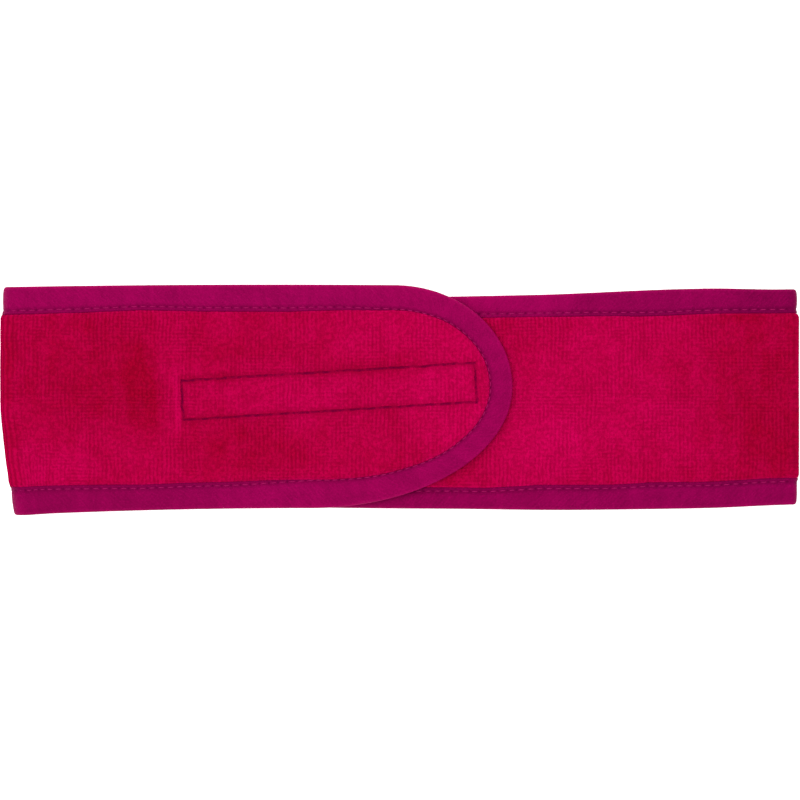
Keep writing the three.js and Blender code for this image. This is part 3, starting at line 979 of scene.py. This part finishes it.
box_stitch_pitch, tape_thread_radius = 2.7, 0.2
hook_box = box_centre, box_tilt, box_half_length, box_half_width, box_stitch_pitch
furrow_z = flap_z + 0.66  # the needle thread lies at the bottom of the furrow
top_side = box_crowns(*hook_box, furrow_z, 1.0)
tape_side = box_crowns(*hook_box, hook_base_z, -1.0)
hook_stitches = stitches_piece(
    "hook_tape_stitches", *[np.concatenate(pair) for pair in zip(top_side, tape_side)],
    tape_thread_radius,
)
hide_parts("hook_tape_thread")
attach(hook_stitches, "flap")


# ---- Loop tape ----
# The other half of the closure, on the outer face of the underlap: a knitted nylon tape, brushed
# into a low mat of loops between two flat selvedges, and sewn on round its edge.

loop_low, loop_high = 4.75, 5.26
loop_seam_in, loop_seam_z = 1.4, 5.42


def loop_mat(along, across):
    edge = np.minimum(loop_half_width - np.abs(across), loop_half_length - np.abs(along))
    mat = smooth(edge, 0.5, 1.3)
    seam = np.exp(-(((edge - loop_seam_in) / 0.45) ** 2))
    tangle = lumps(along, across, 0.95, 61.0) * 0.5 + lumps(along, across, 3.1, 65.0) * 0.4
    return mat * (0.33 + 0.07 * tangle) - 0.18 * seam


def brushed_loops():
    material, shader, place = new_finish("loop_nylon", (0.33, 0.01, 0.11))
    along, across, _ = place.parts()
    tangle = place.scaled(2.2, 2.6).noise(1.0, 4.0, 0.7)
    strand = place.scaled(3.6, 0.9).noise(1.0, 3.0, 0.6)
    cross = place.scaled(0.9, 4.0).noise(1.0, 3.0, 0.6)
    course = ((across + (tangle - 0.5) * 0.5) * (2 * math.pi / 1.3)).math("SINE") * 0.5 + 0.5
    mat = tangle * 0.45 + strand * 0.35 + cross * 0.35 + course * 0.12
    shade = mat.step(0.42, 0.85).colour((0.085, 0.001, 0.022, 1), (0.260, 0.006, 0.075, 1))
    connect(shader, "Base Color", shade)
    connect(shader, "Roughness", tangle * 0.2 + 0.62)
    shader.inputs["Specular IOR Level"].default_value = 0.25
    shader.inputs["Specular Tint"].default_value = (1.0, 0.08, 0.45, 1.0)
    shader.inputs["Sheen Weight"].default_value = 0.15
    shader.inputs["Sheen Tint"].default_value = (1.0, 0.05, 0.4, 1.0)
    bump = mat.make("ShaderNodeBump", {}, {"Strength": 0.8, "Distance": 0.0004, "Height": mat})
    connect(shader, "Normal", bump)
    return material


loop_tape = slab_piece(
    "loop_tape_mat", loop_half_length, loop_half_width, 0.55, loop_low, loop_high,
    loop_centre, 0.0, loop_mat,
)
loop_tape.data.materials.append(brushed_loops())
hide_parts("loop_tape")
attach(loop_tape, "band")

loop_stitches = stitches_piece(
    "loop_tape_stitches",
    *box_crowns(
        loop_centre, 0.0, loop_half_length - loop_seam_in, loop_half_width - loop_seam_in,
        box_stitch_pitch, loop_seam_z, 1.0,
    ),
    tape_thread_radius,
)
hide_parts("loop_tape_thread")
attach(loop_stitches, "band")


# ---- Studio ----
# A pale table top, lit faintly from below as a light table is, a soft light overhead, a weaker one
# from the top left, and a long lens straight above the middle of the headband.

world = bpy.data.worlds.new("studio")
world.use_nodes = True
world.node_tree.nodes["Background"].inputs[0].default_value = (1.0, 1.0, 1.0, 1.0)
world.node_tree.nodes["Background"].inputs[1].default_value = 1.20
bpy.context.scene.world = world

bm = bmesh.new()
bmesh.ops.create_grid(bm, x_segments=4, y_segments=4, size=3.0)
bmesh.ops.translate(bm, vec=(0, 0, -0.0002), verts=bm.verts[:])
floor_mesh = bpy.data.meshes.new("table_top")
bm.to_mesh(floor_mesh)
bm.free()
floor = bpy.data.objects.new("table_top", floor_mesh)
bpy.context.scene.collection.objects.link(floor)
floor_finish = bpy.data.materials.new("table_paint")
floor_finish.use_nodes = True
paint = floor_finish.node_tree.nodes["Principled BSDF"]
paint.inputs["Base Color"].default_value = (0.93, 0.93, 0.93, 1.0)
paint.inputs["Roughness"].default_value = 0.9
paint.inputs["Specular IOR Level"].default_value = 0.1
paint.inputs["Emission Color"].default_value = (1.0, 1.0, 1.0, 1.0)
paint.inputs["Emission Strength"].default_value = 0.45
floor.data.materials.append(floor_finish)


def soft_light(name, size, energy, position):
    data = bpy.data.lights.new(name, "AREA")
    data.shape = "DISK"
    data.size = size
    data.energy = energy
    light = bpy.data.objects.new(name, data)
    bpy.context.scene.collection.objects.link(light)
    light.location = position
    light.rotation_euler = (-Vector(position)).to_track_quat("-Z", "Y").to_euler()
    return light


soft_light("overhead", 0.90, 7.4, (-0.12, 0.08, 1.0))
soft_light("from_top_left", 0.45, 4.6, (-0.8, 0.8, 1.1))

camera_data = bpy.data.cameras.new("camera")
camera_data.sensor_width = 36.0
camera_data.lens = 200.0
camera_height = 1.5065
camera_data.clip_start, camera_data.clip_end = 0.05, 20.0
camera = bpy.data.objects.new("camera", camera_data)
bpy.context.scene.collection.objects.link(camera)
camera.location = (-0.00003, 0.0, camera_height)
bpy.context.scene.camera = camera
bpy.context.scene.view_settings.view_transform = "Standard"
bpy.context.scene.view_settings.look = "None"
